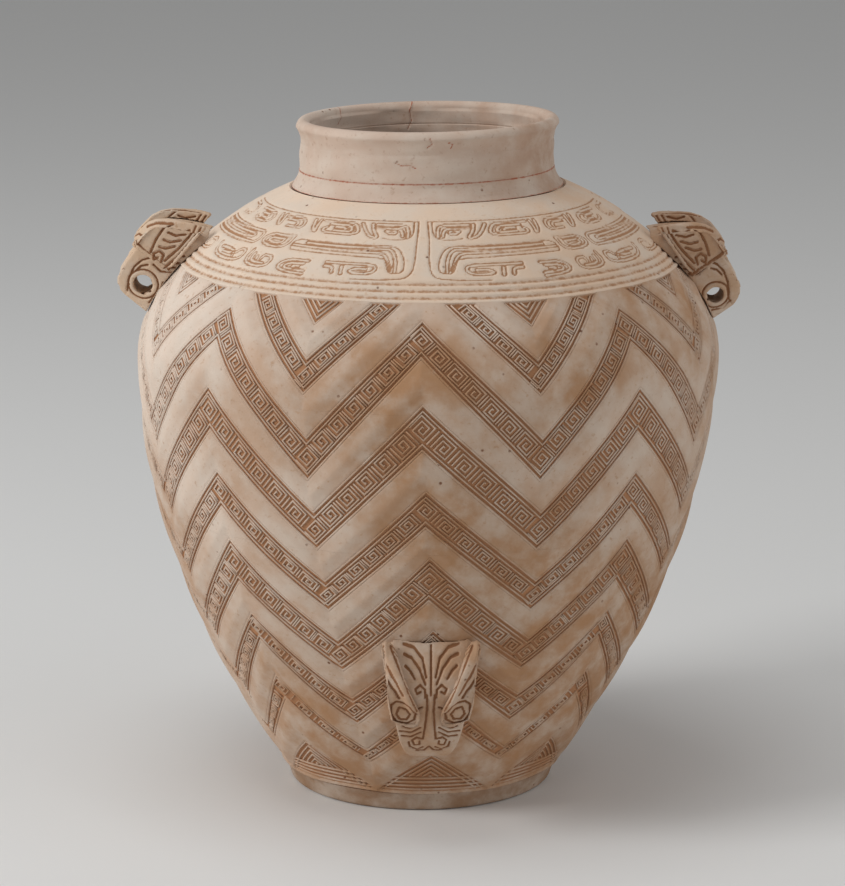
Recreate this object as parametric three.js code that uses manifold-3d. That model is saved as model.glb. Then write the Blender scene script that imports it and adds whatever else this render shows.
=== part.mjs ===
// Hand-built white clay jar with carved zigzag bands and three animal-head lugs.
// Millimetres, +Z up, origin at the middle of the flat base, front of the jar towards -Y.
import * as THREE from 'three';
import { mergeVertices } from 'three/addons/utils/BufferGeometryUtils.js';
import Module from 'manifold-3d';

// Main sizes of the vessel
const BELLY_RADIUS = 142.5;
const BELLY_HEIGHT = 216;
const NECK_ROOT_HEIGHT = 299;
const RIM_HEIGHT = 332;
const WALL = 7;

// Outline of the wall, as shares of the belly radius lost towards the foot and the neck
const FOOT_DRAW_IN = 0.555;
const FOOT_DRAW_POWER = 1.92;
const SHOULDER_DRAW_IN = 0.472;
const NECK_DRAW_IN = 0.055;
const NECK_DRAW_POWER = 8;

// Foot
const FOOT_HEIGHT = 10;
const FOOT_BOTTOM_RADIUS = 65.6;
const FOOT_TOP_RADIUS = 69.6;
const SLAB_RADIUS = 60;
const FOOT_EDGE = 1.2;

// Heights of the joins between the rings of the wall, and how the joins are cut
const JOIN_HEIGHTS = [FOOT_HEIGHT, 78, 146, 214, 262, NECK_ROOT_HEIGHT];
const JOIN_SLOPE = 3;
const LEVEL_FOOT_JOIN = 4.1;
const SLIP_GAP = 0.3;
const RING_STEPS = 5;

// Neck and rim: upper join line, waist and lip. The shoulder has a level shelf for the neck.
const COLLAR_TOP_HEIGHT = 307.4;
const RIM_ROOT_HEIGHT = 321;
const COLLAR_FOOT_RADIUS = 66.2;
const NECK_RADIUS = 62.3;
const WAIST_RADIUS = 61.5;
const LIP_RADIUS = 64.1;
const MOUTH_RADIUS = 56.5;
const SHELF_RADIUS = 58;
const SHELF_THICKNESS = 4;

// Hand-built unevenness: the body leans to the right, the neck sits back and tilts
const LEAN = 0.0164;
const NECK_SET_BACK = 2;
const NECK_TILT = 0.015;
const NECK_SETTLE_FROM = 285;
const NECK_SETTLE_TO = 307;

const RING_SEGMENTS = 48;
const HOLE_SEGMENTS = 16;

// Each lug lies along a chord of the wall, from its horn tips to its snout.
// start and end are [radius, height] on the wall; turn is the way it faces, in degrees
// round +Z from the front of the jar; hole is how far along and how far off the chord.
const LUGS = [
  { name: 'left_lug', horns: ['left_lug_back_horn', 'left_lug_front_horn'],
    turn: -90, start: [106.5, 276.5], end: [139.5, 236], rise: 23.5, hole: [40.3, 9.6, 4.9] },
  { name: 'right_lug', horns: ['right_lug_front_horn', 'right_lug_back_horn'],
    turn: 90, start: [107.5, 277], end: [139.5, 231.5], rise: 22.5, hole: [44, 8.6, 4.1] },
  { name: 'front_lug', horns: ['front_lug_left_horn', 'front_lug_right_horn'],
    turn: 1.6, start: [119.5, 103], end: [93, 44.5], rise: 20, hole: [46, 9.5, 4.5] },
];
const LUG_HALF_WIDTH = 21.5;
const HORN_THICKNESS = 3.5;

const wasm = await Module();
wasm.setup();

const clay = new THREE.MeshStandardMaterial({ color: 0xcbb9a5, roughness: 0.85, metalness: 0 });
const stainedClay = new THREE.MeshStandardMaterial({ color: 0xb99b80, roughness: 0.9, metalness: 0 });

// Radius of the outer wall at a height between the foot and the root of the neck.
function wallRadius(z) {
  const below = Math.max(0, (BELLY_HEIGHT - z) / BELLY_HEIGHT);
  const above = Math.max(0, (z - BELLY_HEIGHT) / (NECK_ROOT_HEIGHT - BELLY_HEIGHT));
  const lost = FOOT_DRAW_IN * below ** FOOT_DRAW_POWER
    + SHOULDER_DRAW_IN * above ** 2
    + NECK_DRAW_IN * above ** NECK_DRAW_POWER;
  return BELLY_RADIUS * (1 - lost);
}

// Point of the wall's section at a height, pushed outwards square to the wall.
function wallPoint(z, push = 0) {
  const step = 0.5;
  const rise = 2 * step;
  const run = wallRadius(z + step) - wallRadius(z - step);
  const length = Math.hypot(rise, run);
  return [wallRadius(z) + push * rise / length, z - push * run / length];
}

// Numbers from low to high in equal steps.
function steps(low, high, count) {
  return Array.from({ length: count + 1 }, (_, i) => low + (high - low) * i / count);
}

// Turns a section, listed as [radius, height] from low to high, round +Z.
function turned(section) {
  const points = section.map(([r, z]) => new THREE.Vector2(r, z));
  return new THREE.LatheGeometry(points, RING_SEGMENTS).rotateX(Math.PI / 2);
}

// A ring: its section goes up the outside, down the inside and closes on itself.
function ring(section) {
  return turned([...section, section[0]]);
}

// A ring of the wall between two joins, which slope down towards the inside. The lowest ring
// stands level on the foot ring, and the highest ends in the level shelf under the neck.
function wallRing(low, high) {
  const from = low + SLIP_GAP / 2;
  const to = high - SLIP_GAP / 2;
  const innerFrom = from - (low === FOOT_HEIGHT ? LEVEL_FOOT_JOIN : JOIN_SLOPE);
  const innerTo = to - (high === NECK_ROOT_HEIGHT ? 0 : JOIN_SLOPE);
  const outer = steps(from, to, RING_STEPS).map((z) => wallPoint(z));
  const inner = steps(innerFrom, innerTo, RING_STEPS - 1).map((z) => wallPoint(z, -WALL));
  const shelf = high === NECK_ROOT_HEIGHT
    ? [[SHELF_RADIUS, to], [SHELF_RADIUS, to - SHELF_THICKNESS]]
    : [];
  return ring([...outer, ...shelf, ...inner.reverse()]);
}

// Sways a point of the finished jar: the lean of the body, the set-back and tilt of the neck.
function settle(geometry) {
  const position = geometry.getAttribute('position');
  for (let i = 0; i < position.count; i += 1) {
    const x = position.getX(i);
    const z = position.getZ(i);
    const neck = THREE.MathUtils.smoothstep(z, NECK_SETTLE_FROM, NECK_SETTLE_TO);
    position.setX(i, x + LEAN * z - NECK_SET_BACK * neck);
    position.setZ(i, z + NECK_TILT * x * neck);
  }
  geometry.computeVertexNormals();
  return geometry;
}

// A closed geometry as a solid for cutting.
function toSolid(geometry) {
  const bare = geometry.clone();
  bare.deleteAttribute('normal');
  bare.deleteAttribute('uv');
  const merged = mergeVertices(bare, 1e-4);
  return new wasm.Manifold(new wasm.Mesh({
    numProp: 3,
    vertProperties: new Float32Array(merged.getAttribute('position').array),
    triVerts: new Uint32Array(merged.getIndex().array),
  }));
}

function toGeometry(solid) {
  const mesh = solid.getMesh();
  const geometry = new THREE.BufferGeometry();
  geometry.setAttribute('position', new THREE.BufferAttribute(mesh.vertProperties, 3));
  geometry.setIndex(new THREE.BufferAttribute(mesh.triVerts, 1));
  return geometry;
}

const jar = new THREE.Group();

function add(name, geometry, material = clay) {
  const mesh = new THREE.Mesh(settle(geometry), material);
  mesh.name = name;
  jar.add(mesh);
}

// Base slab: a flat disc, with the foot ring luted round its edge.
function baseSlab() {
  const radius = SLAB_RADIUS - SLIP_GAP;
  const top = FOOT_HEIGHT - SLIP_GAP / 2;
  return turned([[0, 0], [radius, 0], [radius, top], [0, top]]);
}

function footRing() {
  const top = FOOT_HEIGHT - SLIP_GAP / 2;
  return ring([
    [SLAB_RADIUS, 0],
    [FOOT_BOTTOM_RADIUS - FOOT_EDGE, 0],
    [FOOT_BOTTOM_RADIUS, FOOT_EDGE],
    [FOOT_TOP_RADIUS, top],
    [SLAB_RADIUS, top],
  ]);
}

// Low flaring ring at the root of the neck, seated on the shelf of the shoulder.
function neckCollar() {
  const low = NECK_ROOT_HEIGHT + SLIP_GAP / 2;
  const high = COLLAR_TOP_HEIGHT - SLIP_GAP / 2;
  const hollow = 0.6;
  return ring([
    [COLLAR_FOOT_RADIUS, low],
    [(COLLAR_FOOT_RADIUS + NECK_RADIUS) / 2 - hollow, (low + high) / 2],
    [NECK_RADIUS, high],
    [MOUTH_RADIUS, high],
    [SHELF_RADIUS, low],
  ]);
}

function neck() {
  const low = COLLAR_TOP_HEIGHT + SLIP_GAP / 2;
  const high = RIM_ROOT_HEIGHT - SLIP_GAP / 2;
  const grooveSide = 0.4;
  return ring([
    [NECK_RADIUS - grooveSide, low],
    [NECK_RADIUS, low + 2],
    [WAIST_RADIUS, high],
    [MOUTH_RADIUS, high],
    [MOUTH_RADIUS, low],
  ]);
}

// Flared lip: the outside swells out of the waist, the crest is a rounded arc.
function rim() {
  const low = RIM_ROOT_HEIGHT + SLIP_GAP / 2;
  const crestRise = 3.2;
  const crestMiddle = (LIP_RADIUS + MOUTH_RADIUS + 0.8) / 2;
  const crestHalf = LIP_RADIUS - crestMiddle;
  const crest = steps(0, Math.PI, 6).map((angle) => [
    crestMiddle + crestHalf * Math.cos(angle),
    RIM_HEIGHT - crestRise * (1 - Math.sin(angle)),
  ]);
  return ring([
    [WAIST_RADIUS, low],
    [WAIST_RADIUS + 1.2, low + 3.2],
    ...crest,
    [MOUTH_RADIUS, low],
  ]);
}

// The vessel below the neck as one plain solid, grown by a gap, to seat the lugs on.
function wallSeat(gap) {
  const rings = JOIN_HEIGHTS.slice(1).flatMap((high, i) => (
    steps(JOIN_HEIGHTS[i] + SLIP_GAP / 2, high - SLIP_GAP / 2, RING_STEPS)
  ));
  const section = [[0, 0], ...rings.map((z) => wallPoint(z, gap)), [0, NECK_ROOT_HEIGHT]];
  return toSolid(turned(section));
}

// Side outline of a head, in shares of its length along the wall and its rise off it.
// It runs from the horn tips over the forehead and down to the curled snout.
function headSide(length, rise, grow) {
  const shape = new THREE.Shape();
  const tip = -grow;
  const end = length + grow;
  const top = rise + grow;
  shape.moveTo(tip, -12);
  shape.lineTo(tip, grow);
  shape.quadraticCurveTo(0.16 * length - grow, 0.85 * top, 0.32 * length, 0.96 * top);
  shape.quadraticCurveTo(0.56 * length, 1.04 * top, 0.8 * length, 0.94 * top);
  shape.quadraticCurveTo(end, 0.86 * top, end, 0.36 * top);
  shape.lineTo(0.98 * end, -12);
  shape.closePath();
  return shape;
}

// Front outline of a head: widest at the horns, rounded in at the snout.
function headFront(length, grow) {
  const half = LUG_HALF_WIDTH + grow;
  const end = length + grow;
  const shape = new THREE.Shape();
  shape.moveTo(-grow, -half);
  shape.lineTo(-grow, half);
  shape.bezierCurveTo(0.3 * length, 0.9 * half, 0.45 * length, 0.8 * half, 0.62 * length, 0.72 * half);
  shape.bezierCurveTo(0.85 * length, 0.62 * half, end, 0.42 * half, end, 0);
  shape.bezierCurveTo(end, -0.42 * half, 0.85 * length, -0.62 * half, 0.62 * length, -0.72 * half);
  shape.bezierCurveTo(0.45 * length, -0.8 * half, 0.3 * length, -0.9 * half, -grow, -half);
  return shape;
}

// A head block in its own frame: x along the wall to the snout, y across, z off the wall.
function headBlock(length, rise, grow) {
  const bevel = 4;
  const depth = 2 * (LUG_HALF_WIDTH + grow - bevel);
  const side = new THREE.ExtrudeGeometry(headSide(length, rise, grow - bevel), {
    depth, curveSegments: 5, bevelSegments: 1, bevelSize: bevel, bevelThickness: bevel,
  });
  side.rotateX(Math.PI / 2).translate(0, depth / 2, 0);
  const front = new THREE.ExtrudeGeometry(headFront(length, grow), {
    depth: 2 * rise + 24, curveSegments: 5, bevelEnabled: false,
  });
  front.translate(0, 0, -16);
  return toSolid(side).intersect(toSolid(front));
}

// Leaf outline of a horn, seen from above: rounded by the nose bridge, pointed at the wall.
function hornLeaf(length, sign) {
  const outer = LUG_HALF_WIDTH + HORN_THICKNESS + 1;
  const shape = new THREE.Shape();
  shape.moveTo(-HORN_THICKNESS, sign * outer);
  shape.lineTo(-HORN_THICKNESS, sign * (outer - 6));
  shape.quadraticCurveTo(0.2 * length, sign * 0.42 * outer, 0.42 * length, sign * 0.2 * outer);
  shape.quadraticCurveTo(0.56 * length, sign * 0.12 * outer, 0.56 * length, sign * 0.36 * outer);
  shape.quadraticCurveTo(0.56 * length, sign * 0.62 * outer, 0.44 * length, sign * outer);
  shape.closePath();
  return shape;
}

// Places a solid made in a lug's own frame on the wall.
function lugMatrix(lug) {
  const [r0, z0] = lug.start;
  const [r1, z1] = lug.end;
  const along = new THREE.Vector3(0, -(r1 - r0), z1 - z0).normalize();
  const across = new THREE.Vector3(1, 0, 0);
  const off = new THREE.Vector3().crossVectors(along, across);
  const local = new THREE.Matrix4().makeBasis(along, across, off);
  local.setPosition(0, -r0, z0);
  const turn = new THREE.Matrix4().makeRotationZ(THREE.MathUtils.degToRad(lug.turn));
  return turn.multiply(local);
}

// Cord hole: a many-sided rod right across the head.
function cordHole([along, off, radius]) {
  const rod = new THREE.CylinderGeometry(radius, radius, 3 * LUG_HALF_WIDTH, HOLE_SEGMENTS);
  return toSolid(rod.translate(along, 0, off));
}

function addLug(lug, seat) {
  const length = Math.hypot(lug.end[0] - lug.start[0], lug.end[1] - lug.start[1]);
  const matrix = lugMatrix(lug);
  const hole = cordHole(lug.hole);
  const place = (solid) => {
    const geometry = toGeometry(solid).applyMatrix4(matrix);
    return toSolid(geometry).subtract(seat);
  };
  const head = headBlock(length, lug.rise, 0);
  add(lug.name, toGeometry(place(head.subtract(hole))), stainedClay);
  const skin = headBlock(length, lug.rise, HORN_THICKNESS)
    .subtract(headBlock(length, lug.rise, SLIP_GAP));
  lug.horns.forEach((name, i) => {
    const leaf = new THREE.ExtrudeGeometry(hornLeaf(length, i === 0 ? -1 : 1), {
      depth: 60, curveSegments: 5, bevelEnabled: false,
    });
    leaf.translate(0, 0, 4);
    const horn = skin.intersect(toSolid(leaf)).subtract(hole);
    add(name, toGeometry(place(horn)), stainedClay);
  });
}

add('base_slab', baseSlab());
add('foot_ring', footRing());
const wallNames = ['lower_wall', 'middle_wall', 'belly_wall', 'shoulder_wall', 'shoulder_band'];
wallNames.forEach((name, i) => add(name, wallRing(JOIN_HEIGHTS[i], JOIN_HEIGHTS[i + 1])));
add('neck_collar', neckCollar());
add('neck', neck());
add('rim', rim());
const seat = wallSeat(SLIP_GAP);
LUGS.forEach((lug) => addLug(lug, seat));

export default jar;
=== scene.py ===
from math import radians

import bpy
import numpy as np
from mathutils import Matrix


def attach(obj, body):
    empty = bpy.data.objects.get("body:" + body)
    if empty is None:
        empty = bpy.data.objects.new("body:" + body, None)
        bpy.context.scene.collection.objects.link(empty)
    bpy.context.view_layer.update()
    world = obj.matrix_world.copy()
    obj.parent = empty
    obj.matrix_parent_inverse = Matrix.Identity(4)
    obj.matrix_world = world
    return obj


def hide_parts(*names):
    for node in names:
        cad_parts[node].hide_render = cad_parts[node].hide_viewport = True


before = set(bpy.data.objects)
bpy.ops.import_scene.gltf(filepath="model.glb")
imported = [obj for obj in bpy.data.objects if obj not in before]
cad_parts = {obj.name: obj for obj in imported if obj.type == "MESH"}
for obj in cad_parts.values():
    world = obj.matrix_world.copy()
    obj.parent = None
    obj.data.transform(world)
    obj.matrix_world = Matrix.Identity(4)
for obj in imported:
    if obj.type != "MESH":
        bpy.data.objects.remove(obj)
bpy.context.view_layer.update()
scene = bpy.context.scene

# The camera
# It looks at the jar from straight in front and a little above the shoulder, with a long
# lens, so that the far side of the lip just shows over the near one.
CAMERA_PLACE = (0.00097, -1.6366, 0.5378)
CAMERA_DIP = 12.695
camera_data = bpy.data.cameras.new("camera")
camera_data.sensor_fit = "HORIZONTAL"
camera_data.sensor_width = 36
camera_data.lens = 143.97
camera = bpy.data.objects.new("camera", camera_data)
camera.location = CAMERA_PLACE
camera.rotation_euler = (radians(90 - CAMERA_DIP), 0, 0)
scene.collection.objects.link(camera)
scene.camera = camera
scene.view_settings.view_transform = "Standard"

# The light and the floor
# One large soft lamp on the left, one overhead, a weak wide one on the right and a pale
# room. The floor is a plain pale disc that keeps the jar's shadow.
KEY = dict(place=(-2.1, -0.75, 1.25), width=0.9, watts=30.0)
TOP = dict(place=(-0.3, -0.2, 2.3), width=1.2, watts=11.0)
FILL = dict(place=(2.1, -0.7, 0.8), width=1.4, watts=10.0)
LAMP_AIM = (0, 0, 0.17)
ROOM_LIGHT = 0.3
BACKDROP = 0.82
FLOOR_RADIUS = 6.0
FLOOR_HEIGHT = -0.0003
FLOOR_SIDES = 96
FLOOR_COLOUR = (0.8, 0.8, 0.79, 1)
FLOOR_ROUGHNESS = 0.7


def soft_lamp(name, place, width, watts):
    """A square lamp aimed at the middle of the jar."""
    data = bpy.data.lights.new(name, "AREA")
    data.size = width
    data.energy = watts
    lamp = bpy.data.objects.new(name, data)
    lamp.location = place
    aim = np.array(LAMP_AIM) - np.array(place)
    flat = np.hypot(aim[0], aim[1])
    lamp.rotation_euler = (np.arctan2(flat, -aim[2]), 0, np.arctan2(-aim[0], aim[1]))
    scene.collection.objects.link(lamp)


soft_lamp("key_lamp", **KEY)
soft_lamp("top_lamp", **TOP)
soft_lamp("fill_lamp", **FILL)

world = bpy.data.worlds.new("room")
scene.world = world
world.use_nodes = True
room_tree = world.node_tree
background = room_tree.nodes["Background"]
background.inputs["Color"].default_value = (1, 1, 1, 1)
rays = room_tree.nodes.new("ShaderNodeLightPath")
strength = room_tree.nodes.new("ShaderNodeMix")
strength.inputs[2].default_value = ROOM_LIGHT
strength.inputs[3].default_value = BACKDROP
room_tree.links.new(rays.outputs["Is Camera Ray"], strength.inputs[0])
room_tree.links.new(strength.outputs[0], background.inputs["Strength"])

around = np.linspace(0, 2 * np.pi, FLOOR_SIDES + 1)[:-1]
floor_rim = np.stack([FLOOR_RADIUS * np.cos(around), FLOOR_RADIUS * np.sin(around),
                      np.full(FLOOR_SIDES, FLOOR_HEIGHT)], -1)
floor_mesh = bpy.data.meshes.new("floor")
floor_mesh.from_pydata(floor_rim.tolist(), [], [list(range(FLOOR_SIDES))])
floor_paint = bpy.data.materials.new("pale_floor")
floor_paint.use_nodes = True
floor_shader = floor_paint.node_tree.nodes["Principled BSDF"]
floor_shader.inputs["Base Color"].default_value = FLOOR_COLOUR
floor_shader.inputs["Roughness"].default_value = FLOOR_ROUGHNESS
floor_mesh.materials.append(floor_paint)
floor = bpy.data.objects.new("floor", floor_mesh)
scene.collection.objects.link(floor)

# The base slab and the foot ring
# The jar was raised on a flat disc of fine white clay with a low ring luted round it. The
# ring flares up a little to meet the wall, and its lower edge is rubbed round. The slab
# keeps its own solid. Everything is fired hard and unglazed, and grave earth has stained it.
FOOT_COLOURS = ((190, 162, 136), (128, 92, 66), (150, 116, 88), 0.75)
BLOOM = (214, 203, 190)
PIT_EARTH = (124, 86, 62)
# Patches of each noise to the metre, and cells to the metre that hold a pit each.
CLOUD_SCALE = 9
MOTTLE_SCALE = 55
GRAIN_SCALE = 420
FLECK_SCALE = 900
PIT_SCALE = 130
UNCUT_RELIEF = 0.9
SHEEN = 0.3
GRAIN_STRENGTH = 0.35
GRAIN_DEPTH = 0.0004
# The jar leans a little as it rises, and its neck sits back and tilts.
LEAN = 0.0164
NECK_SET_BACK = 0.002
NECK_TILT = 0.015
NECK_START = 0.285
NECK_BLEND = 0.022
# Radius, height and relief of the ring's section, up the outside and back to the slab.
FOOT_SECTION = np.array([
    (0.0600, 0.0000, 0.50), (0.0640, 0.0000, 0.60), (0.0648, 0.0002, 0.80), (0.0655, 0.0009, 0.90),
    (0.0659, 0.0020, 1.00), (0.0667, 0.0045, 1.00), (0.0676, 0.0065, 0.95), (0.0688, 0.0090, 0.80),
    (0.0694, 0.0098, 0.35), (0.0600, 0.0098, 0.30)])
FOOT_COLUMNS = 360


def linear(red, green, blue):
    """A screen colour, 0 to 255, as the linear colour that a shader takes."""
    c = np.array([red, green, blue]) / 255
    return (*np.where(c <= 0.04045, c / 12.92, ((c + 0.055) / 1.055) ** 2.4), 1)


def clay_group():
    """Colour, roughness and height of old white clay.

    Colour runs from Earth in the cuts to Pale on the crests by the Relief of each point,
    broken up by fine noise. Clouds of Stain lie over the pale parts, denser near the foot
    and on the right; that extra stain low down and on the right is partly earth and partly
    painted shade of the lower body and of the side away from the key lamp. Height is a fine
    grain with small round pits.
    """
    group = bpy.data.node_groups.new("old_white_clay", "ShaderNodeTree")
    face = group.interface
    for name, kind in (("Place", "NodeSocketVector"), ("Relief", "NodeSocketFloat"),
                       ("Pale", "NodeSocketColor"), ("Earth", "NodeSocketColor"),
                       ("Stain", "NodeSocketColor"), ("Stain And Shade Amount", "NodeSocketFloat")):
        face.new_socket(name=name, in_out="INPUT", socket_type=kind)
    for name, kind in (("Color", "NodeSocketColor"), ("Roughness", "NodeSocketFloat"),
                       ("Height", "NodeSocketFloat")):
        face.new_socket(name=name, in_out="OUTPUT", socket_type=kind)
    nodes, link = group.nodes, group.links.new
    given = nodes.new("NodeGroupInput").outputs
    result = nodes.new("NodeGroupOutput").inputs

    def noise(scale, detail):
        """Noise with this many patches to the metre."""
        node = nodes.new("ShaderNodeTexNoise")
        node.inputs["Scale"].default_value = scale
        node.inputs["Detail"].default_value = detail
        node.inputs["Roughness"].default_value = 0.6
        link(given["Place"], node.inputs["Vector"])
        return node.outputs["Fac"]

    def spread(value, low, high, to_low=0.0, to_high=1.0):
        """The value eased from one range to another and held at its ends."""
        node = nodes.new("ShaderNodeMapRange")
        node.interpolation_type = "SMOOTHSTEP"
        link(value, node.inputs["Value"])
        for i, number in enumerate((low, high, to_low, to_high)):
            node.inputs[i + 1].default_value = number
        return node.outputs["Result"]

    def maths(kind, a, b):
        """One operation on two values, each a number or an output."""
        node = nodes.new("ShaderNodeMath")
        node.operation = kind
        for socket, value in zip(node.inputs, (a, b)):
            if isinstance(value, (int, float)):
                socket.default_value = value
            else:
                link(value, socket)
        return node.outputs[0]

    def blend(amount, a, b):
        """Colour a turned towards colour b by the amount."""
        node = nodes.new("ShaderNodeMix")
        node.data_type = "RGBA"
        link(amount, node.inputs[0])
        for i, value in ((6, a), (7, b)):
            if isinstance(value, tuple):
                node.inputs[i].default_value = value
            else:
                link(value, node.inputs[i])
        return node.outputs[2]

    clouds = noise(CLOUD_SCALE, 5)
    mottle = noise(MOTTLE_SCALE, 6)
    grain = noise(GRAIN_SCALE, 6)
    flecks = noise(FLECK_SCALE, 3)
    pit_cells = nodes.new("ShaderNodeTexVoronoi")
    pit_cells.inputs["Scale"].default_value = PIT_SCALE
    link(given["Place"], pit_cells.inputs["Vector"])
    split = nodes.new("ShaderNodeSeparateXYZ")
    link(given["Place"], split.inputs[0])

    # Pits gather where the mottling is strong.
    pit = maths("MULTIPLY", spread(pit_cells.outputs["Distance"], 0.13, 0.05), spread(mottle, 0.52, 0.6))
    # Stain lies in clouds, with more low down and to the right. That extra is partly earth stain
    # and partly painted shade, darkening the lower body and the right side, away from the key lamp.
    low_stain_and_shade = maths("MULTIPLY", spread(split.outputs["Z"], 0.25, 0.02), 0.78)
    right_stain_and_shade = spread(split.outputs["X"], -0.1, 0.03, 0.0, 0.6)
    laid = maths("ADD", low_stain_and_shade, right_stain_and_shade)
    cloud = maths("MINIMUM", maths("ADD", spread(clouds, 0.38, 0.68, 0.0, 0.8), laid), 1.25)
    # The amount scales the stain clouds and the painted shade alike.
    stain_and_shade_share = maths("MULTIPLY", cloud, given["Stain And Shade Amount"])
    dressed = blend(stain_and_shade_share, given["Pale"], given["Stain"])
    patchy = blend(spread(mottle, 0.35, 0.7, 0.0, 0.5), dressed, linear(*BLOOM))
    speckled = blend(spread(grain, 0.57, 0.74, 0.0, 0.55), patchy, given["Stain"])
    # Earth stays where the relief is low.
    broken = maths("ADD", given["Relief"], spread(grain, 0.3, 0.7, -0.16, 0.16))
    coloured = blend(spread(broken, 0.22, 0.74), given["Earth"], speckled)
    link(blend(pit, coloured, linear(*PIT_EARTH)), result["Color"])
    link(spread(flecks, 0.3, 0.7, 0.66, 0.9), result["Roughness"])
    bumps = maths("ADD", maths("MULTIPLY", grain, 0.5), maths("MULTIPLY", flecks, 0.3))
    link(maths("SUBTRACT", bumps, maths("MULTIPLY", pit, 1.2)), result["Height"])
    return group


OLD_CLAY = clay_group()


def clay(name, pale, earth, stain, stain_and_shade_amount, cut=True):
    """A clay material: the group with its own colours, grain as bump, relief from the mesh.

    A piece without cuts has no relief on its mesh and takes one even value.
    """
    material = bpy.data.materials.new(name)
    material.use_nodes = True
    nodes, link = material.node_tree.nodes, material.node_tree.links.new
    shader = nodes["Principled BSDF"]
    shader.inputs["Specular IOR Level"].default_value = SHEEN
    skin = nodes.new("ShaderNodeGroup")
    skin.node_tree = OLD_CLAY
    place = nodes.new("ShaderNodeTexCoord")
    link(place.outputs["Object"], skin.inputs["Place"])
    skin.inputs["Relief"].default_value = UNCUT_RELIEF
    if cut:
        relief = nodes.new("ShaderNodeAttribute")
        relief.attribute_name = "relief"
        link(relief.outputs["Fac"], skin.inputs["Relief"])
    for socket, colour in (("Pale", pale), ("Earth", earth), ("Stain", stain)):
        skin.inputs[socket].default_value = linear(*colour)
    # This amount sets the stain clouds and also the painted shade laid low down and on the right.
    skin.inputs["Stain And Shade Amount"].default_value = stain_and_shade_amount
    grain = nodes.new("ShaderNodeBump")
    grain.inputs["Strength"].default_value = GRAIN_STRENGTH
    grain.inputs["Distance"].default_value = GRAIN_DEPTH
    link(skin.outputs["Height"], grain.inputs["Height"])
    link(skin.outputs["Color"], shader.inputs["Base Color"])
    link(skin.outputs["Roughness"], shader.inputs["Roughness"])
    link(grain.outputs["Normal"], shader.inputs["Normal"])
    return material


def smooth(t):
    """0 below 0, 1 above 1 and, between them, t squared times three less two t."""
    t = np.clip(t, 0, 1)
    return t * t * (3 - 2 * t)


def settle(points):
    """Sways points as the jar was built: the body leans, the neck sits back and tilts.

    Each point shifts to the right by the lean times its height. The set back and the tilt
    ease in at the root of the neck.
    """
    x, z = points[..., 0].copy(), points[..., 2]
    neck = smooth((z - NECK_START) / NECK_BLEND)
    moved = points.copy()
    moved[..., 0] = x + LEAN * z - NECK_SET_BACK * neck
    moved[..., 2] = z + NECK_TILT * x * neck
    return moved


def turns_round(columns):
    """Evenly spaced turns once round the jar, in degrees from the front, as one row."""
    return np.arange(columns)[None, :] * 360 / columns


def turned(section, turn):
    """Closed ring: each section point (radius, height) goes round the jar, one row each.

    At a turn a, the point is at radius times (sin a, -cos a), at its own height.
    """
    radius, z = np.array(section).T[..., None]
    a = np.radians(turn)
    return np.stack(np.broadcast_arrays(radius * np.sin(a), -radius * np.cos(a), z), -1)


def fix_piece(name, mesh, relief, material, slot, *nodes):
    """Gives a mesh its relief and its clay, and fixes it to the jar instead of the nodes."""
    values = mesh.attributes.new("relief", "FLOAT", "POINT")
    values.data.foreach_set("value", np.ascontiguousarray(relief, dtype=np.float32).ravel())
    mesh.shade_smooth()
    mesh.materials.clear()
    mesh.materials.append(material)
    piece = bpy.data.objects.new(name, mesh)
    scene.collection.objects.link(piece)
    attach(piece, "root")
    if nodes:
        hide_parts(*nodes)


def add_grid(name, points, relief, material, slot, *nodes):
    """A piece from a grid of points that closes on itself both ways, in quads."""
    rows, columns = points.shape[:2]
    i, j = np.meshgrid(np.arange(rows), np.arange(columns), indexing="ij")
    up, on = (i + 1) % rows, (j + 1) % columns
    faces = np.stack([i * columns + j, i * columns + on, up * columns + on, up * columns + j], -1)
    mesh = bpy.data.meshes.new(name)
    mesh.from_pydata(points.reshape(-1, 3).tolist(), [], faces.reshape(-1, 4).tolist())
    fix_piece(name, mesh, relief, material, slot, *nodes)


foot = turned(FOOT_SECTION[:, :2], turns_round(FOOT_COLUMNS))
foot_relief = np.broadcast_to(FOOT_SECTION[:, 2:], foot.shape[:2])
FOOT_CLAY = clay("foot_clay", *FOOT_COLOURS)
add_grid("rubbed_foot_ring", settle(foot), foot_relief, FOOT_CLAY, "foot_clay", "foot_ring")
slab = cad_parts["base_slab"]
slab.data.materials.clear()
slab.data.materials.append(clay("base_clay", *FOOT_COLOURS, cut=False))

# The rings of the wall
# The vessel was built up from fat rings of clay and scraped to 7 mm. Then it was carved:
# seven zigzag bands are cut a good millimetre deep all round, with smooth broad bands
# between them that swell to a low crown.
WALL_CLAY = clay("carved_wall_clay", (224, 206, 190), (172, 124, 88), (172, 130, 94), 0.78)
WALL = 0.007
BELLY_RADIUS = 0.1425
BELLY_HEIGHT = 0.216
NECK_ROOT = 0.299
# Shares of the belly's radius that are lost at the foot and at the root of the neck.
FOOT_LOSS = 0.555
FOOT_POWER = 1.92
NECK_LOSS = 0.472
NECK_LAST_LOSS = 0.055
# Heights on the wall's section are measured along it, from the foot up, in metres, and
# called arc heights.
ARC_OFFSET = 0.0015
PERIODS = 8
HALF_PERIOD = 180 / PERIODS
# Arc heights of a band's top and bottom edge, at its apexes and then at its valleys.
BANDS = {
    "first": (0.316, 0.297, 0.258, 0.239), "second": (0.279, 0.258, 0.221, 0.198),
    "third": (0.239, 0.215, 0.185, 0.163), "fourth": (0.198, 0.177, 0.149, 0.130),
    "fifth": (0.164, 0.138, 0.116, 0.095), "sixth": (0.124, 0.105, 0.081, 0.061),
    "seventh": (0.088, 0.070, 0.046, 0.0345),
}
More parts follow.
